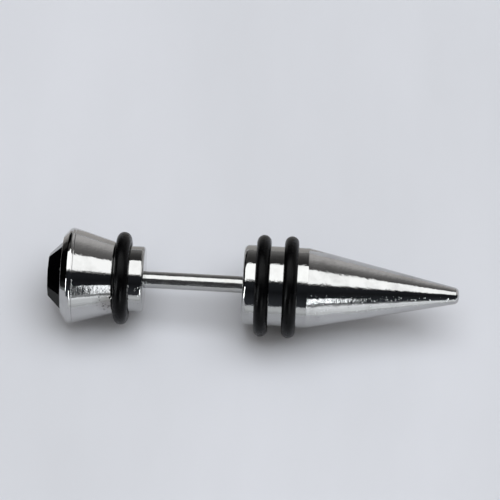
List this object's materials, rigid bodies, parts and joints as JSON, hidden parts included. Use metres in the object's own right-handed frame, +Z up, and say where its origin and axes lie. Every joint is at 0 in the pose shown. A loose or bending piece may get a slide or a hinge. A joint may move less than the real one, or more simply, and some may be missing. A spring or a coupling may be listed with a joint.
{
  "type": "fake gauge earring",
  "caption": "Fake gauge ear stud lying on its side: black stone in a flared steel head, thin post, and a steel spike that comes off, with rubber rings.",
  "frame": {"origin": "middle of the stud's box, on the surface that it lies on", "axes": "+X along the stud from the stone to the spike's tip, +Z up; the stud's own axis rises by 0.89 degrees towards the tip, because it lies on the head's rim and on the spike's larger front ring"},
  "size_m": [0.0292, 0.0072, 0.0073],
  "materials": {
    "polished_steel": "turned and polished, with fine marks and small pits",
    "black_stone": "opaque black, faceted, glossy",
    "black_rubber": "smooth moulded, slight sheen"
  },
  "bodies": {
    "stud": {"head": "polished_steel", "stone": "black_stone", "head_o_ring": "black_rubber", "post": "polished_steel"},
    "spike": {"spike": "polished_steel", "spike_o_ring_front": "black_rubber", "spike_o_ring_back": "black_rubber"}
  },
  "joints": [
    {"name": "spike_screw", "type": "slide", "parent": "stud", "child": "spike", "axis": [0.9999, 0, 0.0156], "range_m": [0, 0.0104]}
  ]
}
